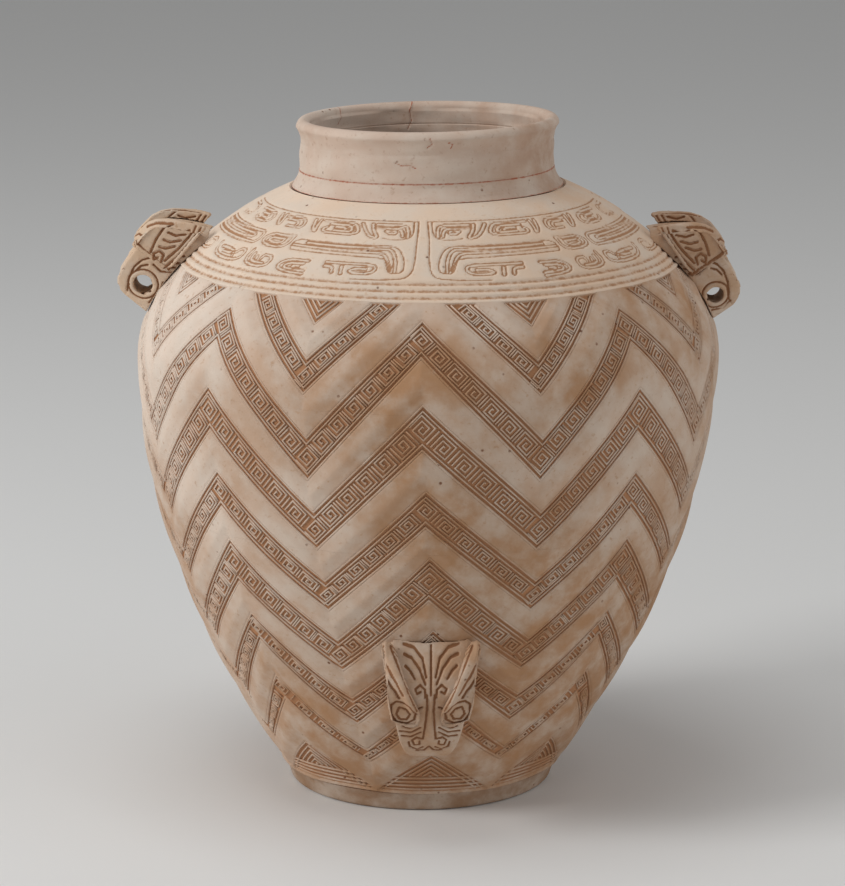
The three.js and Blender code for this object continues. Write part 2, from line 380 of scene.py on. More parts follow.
# How much each band's legs sag between valley and apex.
SAG = {"first": 0, "second": 0, "third": 0.04, "fourth": 0.1, "fifth": 0.18, "sixth": 0.26,
       "seventh": 0.3}
# A leg's width across is this share of its width up the wall.
COS_LEG = 0.69
# The pattern ends at this arc height under the shoulder and at this one over the foot.
BORDER = 0.287
FOOT_LINE = 0.0142
# Tips of the triangles at both ends, and how far their legs rise in half a period.
HANGING_TIP = 0.272
HANGING_RISE = 0.058
STANDING_TIP = 0.0435
STANDING_RISE = 0.0285
# The columns of the zigzag drift round as they go down, in degrees.
DRIFT_TOP = -1.5
DRIFT_MORE = 6.5
DRIFT_START = 0.270
DRIFT_REACH = 0.235
RECESS = 0.0014
CUT_EDGE = 0.0015
CUT_SHADE = 0.95
CROWN = 0.0009
CROWN_REACH = 0.0065
# The crown starts at this arc height and grows to full over these lengths at either end.
CROWN_FROM = 0.016
CROWN_FOOT_FADE = 0.006
CROWN_TOP_FADE = 0.008
WAVE_HEIGHT = 0.00022
RINGS = {"lower_wall": (0.010, 0.078), "middle_wall": (0.078, 0.146),
         "belly_wall": (0.146, 0.214), "shoulder_wall": (0.214, 0.262)}
RING_ROWS = 80
INNER_ROWS = 7
INNER_RELIEF = 0.8
JOIN_SLOPE = 0.003
JOIN_GAP = 0.00001
JOIN_EDGE = 0.00012
wall_turn = turns_round(1040)


def wall_radius(z):
    """Belly radius less what is drawn in towards the foot and towards the neck.

    Each loss is a share times a power of the way from the belly to that end.
    """
    below = np.clip((BELLY_HEIGHT - z) / BELLY_HEIGHT, 0, None)
    above = np.clip((z - BELLY_HEIGHT) / (NECK_ROOT - BELLY_HEIGHT), 0, None)
    kept = 1 - FOOT_LOSS * below ** FOOT_POWER - NECK_LOSS * above ** 2 - NECK_LAST_LOSS * above ** 8
    return BELLY_RADIUS * kept


climb = np.linspace(0, NECK_ROOT, 3000)
climbed = np.cumsum(np.hypot(np.diff(wall_radius(climb)), np.diff(climb)))
arc_table = np.concatenate([[0], climbed]) + ARC_OFFSET


def arc(z):
    """Arc height of the point at height z."""
    return np.interp(z, climb, arc_table)


def height(s):
    """Height of the point at arc height s."""
    return np.interp(s, arc_table, climb)


def on_wall(turn, z, off=0.0):
    """Point of the wall at a turn in degrees from the front and a height, pushed off it.

    The section's normal is (1, -slope) made unit, with slope = dr/dz.
    Returns the points and the outward directions.
    """
    step = 0.0005
    slope = (wall_radius(z + step) - wall_radius(z - step)) / (2 * step)
    long = np.hypot(1, slope)
    r = wall_radius(z) + off / long
    a = np.radians(turn)
    points = np.broadcast_arrays(r * np.sin(a), -r * np.cos(a), z - off * slope / long)
    outward = np.broadcast_arrays(np.sin(a) / long, -np.cos(a) / long, -slope / long)
    return settle(np.stack(points, -1)), np.stack(outward, -1)


def drift(s):
    """How far the columns of the zigzag have drifted round at an arc height, in degrees."""
    return DRIFT_TOP + DRIFT_MORE * (np.clip((DRIFT_START - s) / DRIFT_REACH, 0, 1.2)) ** 1.5


def corners(band):
    """Turns of a band's apexes and valleys, right round and a little past, and their phases.

    The phase is 1 at an apex and 0 at a valley.
    """
    top_apex, low_apex, top_valley, low_valley = band
    k = np.arange(-PERIODS, 3 * PERIODS)
    apex = (k % 2 == 0)
    drifted = np.where(apex, drift((top_apex + low_apex) / 2), drift((top_valley + low_valley) / 2))
    return k * HALF_PERIOD + drifted, apex.astype(float)


def leg(x, sag):
    """Rise of a leg from its valley at x = 0 to its apex at x = 1, sagging by a square."""
    return (1 - sag) * x + sag * x * x


def along_leg(name, turn):
    """How far each turn is along its leg of a band, from valley to apex, 0 to 1."""
    at, phase = corners(BANDS[name])
    return np.interp(np.mod(turn, 360), at, phase)


def depth_inside(turn, s):
    """Distance from the nearest edge of a cut band or triangle, above 0 inside it.

    It is the largest, over the bands and the triangles, of the least distance to an edge.
    """
    inside = np.full(np.broadcast(turn, s).shape, -0.02)
    for name, (top_apex, low_apex, top_valley, low_valley) in BANDS.items():
        x = leg(along_leg(name, turn), SAG[name])
        top = top_valley + (top_apex - top_valley) * x
        low = low_valley + (low_apex - low_valley) * x
        across = np.minimum(top - s, s - low) * COS_LEG
        inside = np.maximum(inside, np.minimum(across, BORDER - s))
    over_valley = along_leg("first", turn)
    hanging = np.minimum((s - HANGING_TIP - HANGING_RISE * over_valley) * COS_LEG, BORDER - s)
    off_apex = 1 - along_leg("seventh", turn)
    standing = np.minimum((STANDING_TIP - STANDING_RISE * off_apex - s) * COS_LEG, s - FOOT_LINE)
    return np.maximum(inside, np.maximum(hanging, standing))


def unevenness(turn, z):
    """Hand-built waviness of the wall, a few long low waves, in metres."""
    a = np.radians(turn)
    waves = np.sin(3 * a + 40 * z) + np.sin(5 * a - 65 * z + 1) + 0.7 * np.sin(9 * a + 90 * z + 2)
    return WAVE_HEIGHT * waves


def wall_ring(low, high, inner_low, inner_high, rows, cut):
    """A ring of the wall: rows up the carved outside, then down the plain inside.

    cut gives, at each turn and height, how deep in a cut it is and how far off the wall.
    """
    outer_z = np.linspace(low + JOIN_EDGE, high - JOIN_EDGE, rows - 2)
    outer_z = np.concatenate([[low + JOIN_GAP], outer_z, [high - JOIN_GAP]])[:, None]
    share, off = cut(wall_turn, outer_z)
    outer, _ = on_wall(wall_turn, outer_z, off)
    inner_z = np.linspace(inner_high, inner_low, INNER_ROWS)[:, None]
    inner, _ = on_wall(wall_turn, inner_z, -WALL)
    relief = np.concatenate([1 - share, np.full(inner.shape[:2], INNER_RELIEF)])
    return np.concatenate([outer, inner]), relief


def carved(turn, z):
    """Cut bands sink by the recess; the plain bands between them swell to a low crown."""
    s = arc(z)
    inside = depth_inside(turn, s)
    share = smooth(inside / CUT_EDGE)
    ends = smooth((BORDER - s) / CROWN_TOP_FADE) * smooth((s - CROWN_FROM) / CROWN_FOOT_FADE)
    crown = CROWN * (smooth(-inside / CROWN_REACH) - 0.5) * ends
    return CUT_SHADE * share, unevenness(turn, z) - RECESS * share + crown * (1 - share)


for ring_name, (ring_low, ring_high) in RINGS.items():
    ring_points, ring_relief = wall_ring(ring_low, ring_high, ring_low - JOIN_SLOPE,
                                         ring_high - JOIN_SLOPE, RING_ROWS, carved)
    add_grid("carved_" + ring_name, ring_points, ring_relief, WALL_CLAY, "wall_clay", ring_name)

# The carved bands
# In every cut band the carver left thin ridges standing: two borders along each edge, one in
# the lowest band, and between the borders a row of square spirals with a bar between each two.
# Each border is given as its distance from the edge and half its width.
DOUBLE_BORDER = ((0.0010, 0.00062), (0.00295, 0.00045))
SINGLE_BORDER = ((0.00135, 0.00068),)
BORDER_RISE = 0.00115
BORDER_STEPS = 12
CELL_STEP = 0.012
CELL_HALF_LENGTH = 0.37 * CELL_STEP
CELL_LEAST_HALF = 0.0012
CELL_MARGIN = 0.0043
SINGLE_BORDER_MARGIN = 0.0034
CELL_RIDGE = 0.00045
CELL_RISE = 0.00105
# Where the shoulder cuts the pattern, the borders, the cells' middles and every other ridge
# stop this far short of it.
BORDER_END = 0.0012
CELL_END = 0.0015
RIDGE_END = 0.0008
LOOK_AHEAD = 0.04
# A ridge's section, as shares of its half width and of its rise.
RIDGE_ACROSS = np.array([-1.0, -0.82, -0.45, 0.0, 0.45, 0.82, 1.0])
RIDGE_UP = np.array([0.0, 0.62, 0.95, 1.0, 0.95, 0.62, 0.0])
RIDGE_ROOT = 0.0002
RIDGE_WOBBLE = 0.08
MITRE_LIMIT = 0.55
# A square spiral as a path in a square from -1 to 1, drawn in by one pitch each time round.
PITCH = 0.46
SPIRAL = np.array([
    [-1, -1], [-1, 1], [1, 1], [1, -1], [-1 + PITCH, -1], [-1 + PITCH, 1 - PITCH],
    [1 - PITCH, 1 - PITCH], [1 - PITCH, -1 + PITCH], [-1 + 2 * PITCH, -1 + PITCH],
    [-1 + 2 * PITCH, 1 - 2 * PITCH], [1 - 1.9 * PITCH, 1 - 2 * PITCH]])
BAR = np.array([[0, -1.08], [0, 0], [0, 1.08]])
ridge_rng = np.random.default_rng(7)


def unit(v):
    """Vectors made one long."""
    return v / np.maximum(np.linalg.norm(v, axis=-1, keepdims=True), 1e-9)


def sweep(turn, s, half_width, rise, closed=False):
    """Carries a rounded ridge along paths on the wall, one path per row.

    At each path point the ridge's side is square to the path and to the wall, lengthened at
    corners by one over the cosine of half the bend, so that they stay sharp. Its width
    wobbles by a few per cent, as a hand-cut ridge's does. Returns points, faces and relief.
    """
    z = height(s)
    base, up = on_wall(turn, z, unevenness(turn, z) - RECESS)
    step = np.roll(base, -1, axis=1) - base
    if not closed:
        step[:, -1] = step[:, -2]
    back = np.roll(step, 1, axis=1)
    if not closed:
        back[:, 0] = step[:, 0]
    side_on = unit(np.cross(unit(step), up))
    side_back = unit(np.cross(unit(back), up))
    side = unit(side_on + side_back)
    stretch = 1 / np.clip((side * side_on).sum(-1, keepdims=True), MITRE_LIMIT, 1)
    wobble = 1 + RIDGE_WOBBLE * ridge_rng.standard_normal(turn.shape)[..., None, None]
    across = (side * stretch)[..., None, :] * RIDGE_ACROSS[:, None] * half_width * wobble
    lift = up[..., None, :] * (RIDGE_UP * rise - RIDGE_ROOT)[:, None]
    points = base[..., None, :] + across + lift
    count, along, k = points.shape[:3]
    relief = np.broadcast_to(0.12 + 0.85 * RIDGE_UP, points.shape[:3])
    laps = along if closed else along - 1
    c, i, j = np.meshgrid(np.arange(count), np.arange(laps), np.arange(k), indexing="ij")
    here, ahead = (c * along + i) * k, (c * along + (i + 1) % along) * k
    beside = (j + 1) % k
    faces = np.stack([here + j, here + beside, ahead + beside, ahead + j], -1).reshape(-1, 4).tolist()
    if not closed:
        first = (np.arange(count)[:, None] * along) * k + np.arange(k)
        faces += first[:, ::-1].tolist() + (first + (along - 1) * k).tolist()
    return points.reshape(-1, 3), faces, relief.reshape(-1)


def add_ridges(name, sets):
    """One piece of wall clay from several swept sets of ridges."""
    points, faces, relief, start = [], [], [], 0
    for set_points, set_faces, set_relief in sets:
        points.append(set_points)
        faces += [[corner + start for corner in face] for face in set_faces]
        relief.append(set_relief)
        start += len(set_points)
    mesh = bpy.data.meshes.new(name)
    mesh.from_pydata(np.concatenate(points).tolist(), [], faces)
    fix_piece(name, mesh, np.concatenate(relief), WALL_CLAY, "wall_clay")


def band_borders(name):
    """The border ridges of a band, as closed zigzags, or as Vs where the shoulder cuts it.

    A border follows its edge, moved in by its distance over the leg's cosine.
    """
    top_apex, low_apex, top_valley, low_valley = BANDS[name]
    at, _ = corners(BANDS[name])
    closed = top_apex < BORDER
    j = PERIODS + 1 + 2 * np.arange(PERIODS)[:, None]
    sets = []
    for distance, half_width in (SINGLE_BORDER if name == "seventh" else DOUBLE_BORDER):
        inset = distance / COS_LEG
        for valley, apex in ((top_valley - inset, top_apex - inset),
                             (low_valley + inset, low_apex + inset)):
            reach = min(1.0, (BORDER - BORDER_END - valley) / (apex - valley))
            x = np.linspace(0, reach, BORDER_STEPS)
            left = at[j] + (at[j - 1] - at[j]) * x[::-1]
            right = at[j] + (at[j + 1] - at[j]) * x[1:]
            turn = np.concatenate([left, right], 1)
            down_and_up = leg(np.concatenate([x[::-1], x[1:]]), SAG[name])
            s = np.broadcast_to(valley + (apex - valley) * down_and_up, turn.shape)
            if closed:
                turn, s = turn[:, :-1].reshape(1, -1), s[:, :-1].reshape(1, -1)
            sets.append(sweep(turn, s, half_width, BORDER_RISE, closed=closed))
    return sets


def band_cells(name):
    """Square spirals and bars down every leg of a band.

    Cell k of n has its centre k/n of the way along the leg's middle line, and is laid along
    the leg's direction there; a bar stands half way to the next one.
    """
    top_apex, low_apex, top_valley, low_valley = BANDS[name]
    at, phase = corners(BANDS[name])
    j = np.arange(PERIODS, 3 * PERIODS)
    valley, apex = (top_valley + low_valley) / 2, (top_apex + low_apex) / 2
    valley_width, apex_width = top_valley - low_valley, top_apex - low_apex
    middle_radius = wall_radius(height((valley + min(apex, BORDER)) / 2))
    leg_length = np.hypot(np.radians(HALF_PERIOD) * middle_radius, apex - valley)
    count = int(round(leg_length / CELL_STEP))
    margin = SINGLE_BORDER_MARGIN if name == "seventh" else CELL_MARGIN

    def middle_line(f):
        """Turn, arc height and rise of the middle line, f of the way along each leg."""
        turn = at[j][:, None] + (at[j + 1] - at[j])[:, None] * f
        rise = leg(phase[j][:, None] + (phase[j + 1] - phase[j])[:, None] * f, SAG[name])
        return turn, valley + (apex - valley) * rise, rise

    def lay(f, shape):
        """The shape's points on the wall, once for every place f of every leg."""
        turn, s, rise = middle_line(f)
        ahead = np.clip(f + LOOK_AHEAD, LOOK_AHEAD, 1.0)
        later_turn, later_s, _ = middle_line(ahead)
        sooner_turn, sooner_s, _ = middle_line(ahead - LOOK_AHEAD)
        r = wall_radius(height(s))
        dx, ds = np.radians(later_turn - sooner_turn) * r, later_s - sooner_s
        long = np.hypot(dx, ds)
        dx, ds = (dx / long)[..., None], (ds / long)[..., None]
        width = valley_width + (apex_width - valley_width) * rise
        half = np.maximum(width * COS_LEG / 2 - margin, CELL_LEAST_HALF)
        flip = np.where(phase[j] > 0.5, 1.0, -1.0)[:, None]
        t = shape[:, 0] * CELL_HALF_LENGTH
        n = shape[:, 1] * (flip * half)[..., None]
        cell_turn = turn[..., None] + np.degrees((t * dx - n * ds) / r[..., None])
        cell_s = np.minimum(s[..., None] + t * ds + n * dx, BORDER - RIDGE_END)
        keep = s.reshape(-1) < BORDER - CELL_END
        return cell_turn.reshape(-1, len(shape))[keep], cell_s.reshape(-1, len(shape))[keep]

    spirals = lay(np.arange(count)[None, :] / count, SPIRAL)
    bars = lay((np.arange(count)[None, :] + 0.5) / count, BAR)
    return [sweep(*spirals, CELL_RIDGE, CELL_RISE), sweep(*bars, CELL_RIDGE, CELL_RISE)]


for band_name in BANDS:
    add_ridges(band_name + "_band_spirals", band_borders(band_name) + band_cells(band_name))

# The triangles at the two ends of the pattern
# Under the shoulder's border each valley is filled with hanging chevrons. Above the foot each
# apex stands over nested chevrons, whose outer ones cross a few level lines.
CHEVRON_INSET = 0.0011
CHEVRON_RIDGE = 0.0005
HANGING_NESTS = 4
HANGING_PITCH = 0.0022
STANDING_NESTS = 6
STANDING_PITCH = 0.0021
STANDING_STEPS = 17
OUTER_NESTS = 2
OUTER_FOOT = FOOT_LINE + RIDGE_END
INNER_FOOT = 0.0262
LEVEL_LINES = (0.0164, 0.0192, 0.0220, 0.0248)
LEVEL_RIDGE = 0.0006
LEVEL_RISE = 0.0011
LEVEL_COLUMNS = 180
valley_turn = corners(BANDS["first"])[0][PERIODS + 1::2][:PERIODS, None]
apex_turn = corners(BANDS["seventh"])[0][PERIODS::2][:PERIODS, None]
chevrons = []
for nest in range(HANGING_NESTS):
    tip = HANGING_TIP + (CHEVRON_INSET + HANGING_PITCH * nest) / COS_LEG
    reach = (BORDER - RIDGE_END - tip) / HANGING_RISE
    across_x = np.array([-reach, 0, reach])
    chevron_turn = valley_turn + across_x * HALF_PERIOD
    chevron_s = np.broadcast_to(tip + HANGING_RISE * np.abs(across_x), chevron_turn.shape)
    chevrons.append(sweep(chevron_turn, chevron_s, CHEVRON_RIDGE, CELL_RISE))
for nest in range(STANDING_NESTS):
    tip = STANDING_TIP - (CHEVRON_INSET + STANDING_PITCH * nest) / COS_LEG
    reach = (tip - (OUTER_FOOT if nest < OUTER_NESTS else INNER_FOOT)) / STANDING_RISE
    across_x = np.linspace(-reach, reach, STANDING_STEPS)
    chevron_turn = apex_turn + across_x * HALF_PERIOD
    chevron_s = np.broadcast_to(tip - STANDING_RISE * np.abs(across_x), chevron_turn.shape)
    chevrons.append(sweep(chevron_turn, chevron_s, CHEVRON_RIDGE, CELL_RISE))
level_turn = np.linspace(0, 360, LEVEL_COLUMNS + 1)[:-1][None, :]
for level in LEVEL_LINES:
    level_s = np.full(level_turn.shape, level)
    chevrons.append(sweep(level_turn, level_s, LEVEL_RIDGE, LEVEL_RISE, closed=True))
add_ridges("end_chevrons", chevrons)

# The shoulder band
# A plain shoulder with a frieze of ribbons, hooks and small rectangles drawn in fine cut
# lines, ridged lines under it and a bare zone above, up to the neck. Most strokes are a pair
# of lines that run side by side, and the frieze has two panels, each mirrored on its middle.
SHOULDER_CLAY = clay("shoulder_clay", (230, 210, 190), (172, 128, 94), (204, 168, 136), 0.5)
BAND_LOW = 0.262
BAND_ROWS = 84
SCROLL_WIDTH = 0.0006
SCROLL_DEPTH = 0.00055
PAIR_OFFSET = 0.00085
DIVIDER_TURN = -2
RIDGED_FROM = 0.2872
RIDGED_TO = 0.2990
RIDGED_PITCH = 0.0039
RIDGED_DEPTH = 0.0008
BARE_FROM = 0.336
SINGLE = ("divider", "top_line", "ribbon_upper", "strip_outer", "strip_inner", "strip_end")
# Half a panel, from its divider outwards: turns in degrees and arc heights in millimetres.
SCROLLS = {
    "divider": [(1.5, 338), (1.9, 322), (1.9, 308), (2.8, 302), (5, 299.5), (17, 299)],
    "top_line": [(1.5, 338.5), (86, 338.5)],
    "ribbon_upper": [(3, 338), (3, 329), (4.5, 325.5), (8, 325), (12, 325.5)],
    "strip_outer": [(36, 321), (9.5, 321), (6.5, 319), (4.6, 312), (4.4, 303.5), (7.5, 303)],
    "strip_second": [(34, 319), (10, 318.8), (8, 317), (6.8, 311), (6.6, 304)],
    "strip_third": [(38, 316.5), (22, 316.3), (12, 316.2), (9.5, 314), (8, 305)],
    "strip_inner": [(38, 313.3), (10.2, 313.3), (8.6, 309), (7.8, 303.4)],
    "strip_end": [(36, 321), (38.5, 319.5), (38.8, 315.5), (38, 313.3)],
    "box_outer": [(40, 322), (50, 321.5), (50.4, 314), (40.4, 313.4), (40, 322)],
    "box_inner": [(42.5, 319.4), (48, 319), (48, 316.2), (42.7, 316), (42.5, 319.4)],
    "bar_outer": [(86, 322.4), (54, 321.8), (52.2, 320), (52.2, 315), (54, 313), (86, 313.6)],
    "bar_middle": [(86, 319.6), (57, 319.2), (55, 317.6), (57, 316), (86, 316.2)],
    "hook_tall": [(20, 336), (17, 328), (15, 326), (13.6, 326.2), (15.6, 331), (16.5, 336)],
    "arch_outer": [(15, 336), (5.5, 336), (4.6, 331), (4.6, 327)],
    "arch_inner": [(15, 333.4), (7.4, 333.2), (6.4, 330), (6.2, 327.5)],
    "curl": [(11.5, 331), (10, 328.6), (8.2, 329.6), (9, 331.8), (11.2, 331.4)],
    "snail_outer": [(34, 336), (23.5, 336.6), (21, 333), (20.2, 327.5), (31, 327.2), (33, 329.5),
                    (31.6, 331.4)],
    "snail_middle": [(31, 333.6), (24.6, 334.2), (22.8, 331.8), (22.6, 329.4), (28.6, 329.2)],
    "snail_inner": [(28.6, 331.8), (25.6, 332), (24.8, 330.8)],
    "second_hook": [(38, 336), (36.4, 329), (34.6, 326.4), (35.6, 331), (35.8, 336)],
    "third_arch": [(51, 335), (44, 336), (41, 333), (40.8, 327.6), (47, 328.4)],
    "third_inner": [(49, 332.6), (45, 333), (43.4, 331), (43.6, 329.6)],
    "fourth_hook": [(55, 336), (52.4, 329), (50.6, 327.4), (51.6, 332), (52.6, 336)],
    "fourth_arch": [(70, 336), (60, 335.6), (57, 332), (57.4, 327.8), (66, 327.6), (68, 330)],
    "fourth_inner": [(66, 333), (61.4, 332.8), (60, 330.6), (64, 330)],
    "fifth_arch": [(85, 335.6), (76, 335.4), (73, 331), (74, 327.8), (82, 328)],
    "low_hook": [(25, 308.4), (12.6, 308.4), (11.2, 305.6), (13, 302.4), (18.4, 303), (17, 305.4),
                 (14, 305.2)],
    "low_tee": [(25, 305.8), (22.8, 305.8), (22.4, 302.2)],
    "low_stroke": [(20.4, 306.4), (20, 301.8)],
    "wave_outer": [(30, 307.8), (36, 307.4), (38.4, 303.4), (37, 300.4), (30, 299.6)],
    "wave_second": [(31, 305.8), (35, 305.4), (36.4, 303), (35, 301.6), (30, 301.4)],
    "wave_inner": [(32, 304), (34, 303.6), (33, 302.8)],
    "spiral_outer": [(50, 309.4), (50.4, 301), (42, 300.4), (41.2, 307), (44.6, 308), (45, 305)],
    "spiral_inner": [(48.4, 307.4), (48.4, 302.8), (43.4, 302.6)],
    "spiral_core": [(46.8, 306), (46.6, 304.4)],
    "key_outer": [(67, 308.4), (66, 301), (53, 300.6), (52.4, 308), (55, 308.4), (56, 304.6), (62, 304)],
    "key_inner": [(64.6, 306.4), (57.6, 306.6), (56.4, 303)],
    "end_key": [(84, 308), (84, 301.4), (71, 301), (70.6, 308), (75, 308), (76, 304)],
}


def eased(path):
    """The path with each corner cut twice at a quarter of its sides, as a rounded stroke."""
    p = np.array(path, dtype=float)
    for _ in range(2):
        near, far = 0.75 * p[:-1] + 0.25 * p[1:], 0.25 * p[:-1] + 0.75 * p[1:]
        middle = np.stack([near, far], 1).reshape(-1, 2)
        p = np.concatenate([p[:1], middle[1:-1], p[-1:]])
    return p


def from_segment(x, y, dx, dy):
    """Distance of each point from the straight stroke that runs from the origin to (dx, dy)."""
    f = np.clip((x * dx + y * dy) / (dx * dx + dy * dy), 0, 1)
    return np.hypot(x - f * dx, y - f * dy)


def scroll_share(turn, s):
    """How deep in a cut line each point lies, 0 to 1, by its distance from every stroke.

    A stroke of one line is cut where the distance is 0, and a pair where it is the offset.
    The right half is skewed a little, as the two halves were drawn by hand.
    """
    r = wall_radius(height(s))
    share = np.zeros(np.broadcast(turn, s).shape)
    from_divider = np.mod(turn - DIVIDER_TURN + 90, 180) - 90
    side = np.abs(from_divider)
    skew = np.where(from_divider > 0, 0.6 * np.sin(np.radians(side * 9)), 0)
    for name, stroke in SCROLLS.items():
        path = eased(stroke)
        pair = 0 if name in SINGLE else PAIR_OFFSET
        distance = np.full(share.shape, 1.0)
        for (t0, s0), (t1, s1) in zip(path[:-1], path[1:]):
            near = (side[0] >= min(t0, t1) - 2) & (side[0] <= max(t0, t1) + 2)
            if not near.any():
                continue
            x = np.radians(side[:, near] + skew[:, near] - t0) * r
            stroke_distance = from_segment(x, s - s0 / 1000, np.radians(t1 - t0) * r, (s1 - s0) / 1000)
            distance[:, near] = np.minimum(distance[:, near], stroke_distance)
        share = np.maximum(share, smooth(1.25 - np.abs(distance - pair) / SCROLL_WIDTH))
    return share


def shoulder_cut(turn, z):
    """The frieze's lines sink, and cosine waves make the ridged lines under it."""
    s = arc(z)
    lines = scroll_share(turn, s)
    ridged = smooth((s - RIDGED_FROM) / 0.0008) * smooth((RIDGED_TO - s) / 0.001)
    wave = ridged * (0.5 - 0.5 * np.cos(2 * np.pi * (s - RIDGED_FROM) / RIDGED_PITCH))
    share = np.clip(0.95 * lines + 0.7 * wave, 0, 1)
    swell = unevenness(turn, z) * smooth((BARE_FROM - s) / 0.03)
    return 0.9 * share, swell - SCROLL_DEPTH * lines - RIDGED_DEPTH * wave


shoulder_points, shoulder_relief = wall_ring(BAND_LOW, NECK_ROOT, BAND_LOW - JOIN_SLOPE, NECK_ROOT,
                                             BAND_ROWS, shoulder_cut)
add_grid("scroll_cut_shoulder_band", shoulder_points, shoulder_relief, SHOULDER_CLAY, "shoulder_clay",
         "shoulder_band")

# The neck collar, the neck and the rim
# A low flaring collar joins a short upright neck, whose lip was turned out and rounded with
# wet fingers. The joins show as fine red-brown lines, and hairline cracks mark the clay.
NECK_CLAY = clay("neck_clay", (216, 196, 180), (176, 102, 74), (170, 136, 112), 0.66)
COLLAR_LOW = 0.2990
NECK_LOW = 0.3074
RIM_LOW = 0.3210
RIM_TOP = 0.332
NECK_OUTSIDE = 0.0623
NECK_INSIDE = 0.0565
CRACK_RADIUS = 0.062
CRACK_WIDTH = 0.0006
CRACK_DEPTH = 0.0004
SEAM_WIDTH = 0.0006
THUMB_WAVE = 0.00018
# Each crack as a broken line of turns in degrees and heights in metres.
CRACKS = [
    [(-14, 0.3175), (-11, 0.3160), (-8, 0.3165), (-5, 0.3150)],
    [(1, 0.3290), (2, 0.3265), (0, 0.3250)],
    [(9, 0.3270), (11, 0.3262), (10, 0.3240)],
    [(187, 0.3330), (189, 0.3280), (188, 0.3225), (190, 0.3185)],
    [(228, 0.3320), (229, 0.3270), (231, 0.3240)],
]
neck_turn = turns_round(720)


def crack_share(turn, z):
    """1 along the cracks, fading to 0 at their width."""
    share = np.zeros(np.broadcast(turn, z).shape)
    x = np.radians(turn) * CRACK_RADIUS
    for path in CRACKS:
        for (t0, z0), (t1, z1) in zip(path[:-1], path[1:]):
            x0, x1 = np.radians(t0) * CRACK_RADIUS, np.radians(t1) * CRACK_RADIUS
            distance = from_segment(x - x0, z - z0, x1 - x0, z1 - z0)
            share = np.maximum(share, smooth(1 - distance / CRACK_WIDTH))
    return share


def neck_piece(name, node, outer, inner, joints):
    """A ring from its outer and inner sections, with thumb waves, cracks and joint lines.

    Both faces grow out of the clay by the wave, which fades at the ends, less the cracks.
    """
    section = np.array(outer + inner)
    points = turned(section, neck_turn)
    z = section[:, 1][:, None]
    crack = crack_share(np.where(neck_turn > 300, neck_turn - 360, neck_turn), z)
    a = np.radians(neck_turn)
    wave = np.sin(4 * a + 300 * z) + np.sin(7 * a - 500 * z) + 0.6 * np.sin(15 * a + 200 * z)
    fade = smooth(np.minimum(z - z.min(), z.max() - z) / 0.002)
    grow = THUMB_WAVE * wave * fade - CRACK_DEPTH * crack
    radial = np.stack([np.sin(a), -np.cos(a), np.zeros_like(a)], -1)
    sign = np.where(np.arange(len(section)) < len(outer), 1, -1)[:, None, None]
    points = points + radial * (grow[..., None] * sign)
    seam = sum(np.exp(-((z - joint) / SEAM_WIDTH) ** 2) for joint in joints)
    relief = np.clip(1 - 0.8 * crack - 0.6 * seam, 0, 1)
    add_grid(name, settle(points), relief, NECK_CLAY, "neck_clay", node)


# The collar narrows as a power of the way up, and its foot rests on the shoulder's shelf.
collar_up = np.array([0, 0.012, *np.linspace(0.08, 0.92, 12), 0.988, 1])
collar_outer = [(NECK_OUTSIDE + 0.0039 * (1 - f) ** 1.7, 0.29905 + 0.00833 * f) for f in collar_up]
collar_inner = [(NECK_INSIDE + 0.0015 * f, 0.3073 - 0.0082 * f) for f in np.linspace(0, 1, 6)]
neck_piece("flared_neck_collar", "neck_collar", collar_outer, collar_inner, (COLLAR_LOW, NECK_LOW))

# The neck draws in evenly, with a slight step over the joint.
neck_up = np.array([0, 0.008, *np.linspace(0.04, 0.96, 22), 0.992, 1])
neck_outer = [(NECK_OUTSIDE - 0.0008 * f - 0.0003 * np.exp(-f / 0.06), NECK_LOW + 0.0136 * f)
              for f in neck_up]
neck_inner = [(NECK_INSIDE, RIM_LOW - 0.0136 * f) for f in np.linspace(0, 1, 24)]
neck_piece("smoothed_neck", "neck", neck_outer, neck_inner, (NECK_LOW,))

# The rim turns out as a power of the way up and ends in a rounded crest.
lip_up = np.array([0, 0.015, *np.linspace(0.08, 1, 11)])
lip_outer = [(0.0615 + 0.0024 * f ** 1.6, RIM_LOW + 0.0073 * f) for f in lip_up[:-1]]
lip_crest = [(0.0607 + 0.0034 * np.cos(a), RIM_TOP - 0.0036 * (1 - np.sin(a)))
             for a in np.linspace(0, np.pi, 17)]
lip_inner = [(0.0567, 0.3276 - 0.0065 * f) for f in np.linspace(0, 1, 12)]
neck_piece("rounded_lip", "rim", lip_outer + lip_crest, lip_inner, ())

# The animal-head lugs
# Three lugs modelled by hand as horned animal heads, snout down, each pierced across for a
# cord, with the eyes, nose ridge, nostrils and feathered horns carved when leather-hard.
LUG_CLAY = clay("lug_clay", (212, 184, 156), (136, 92, 60), (172, 130, 96), 0.6)
VOXEL = 0.00055
# Turn in degrees; radius and height where the head starts and ends; the cord hole's place
# along the head and off the wall, and its radius.
LUGS = {
    "left_lug": dict(turn=-90, start=(0.1065, 0.2765), end=(0.1395, 0.236), hole=(0.0403, 0.0096, 0.0049)),
    "right_lug": dict(turn=90, start=(0.1075, 0.277), end=(0.1395, 0.2315), hole=(0.044, 0.0086, 0.0041)),
    "front_lug": dict(turn=1.6, start=(0.1195, 0.103), end=(0.093, 0.0445), hole=(0.046, 0.0095, 0.0045)),
}
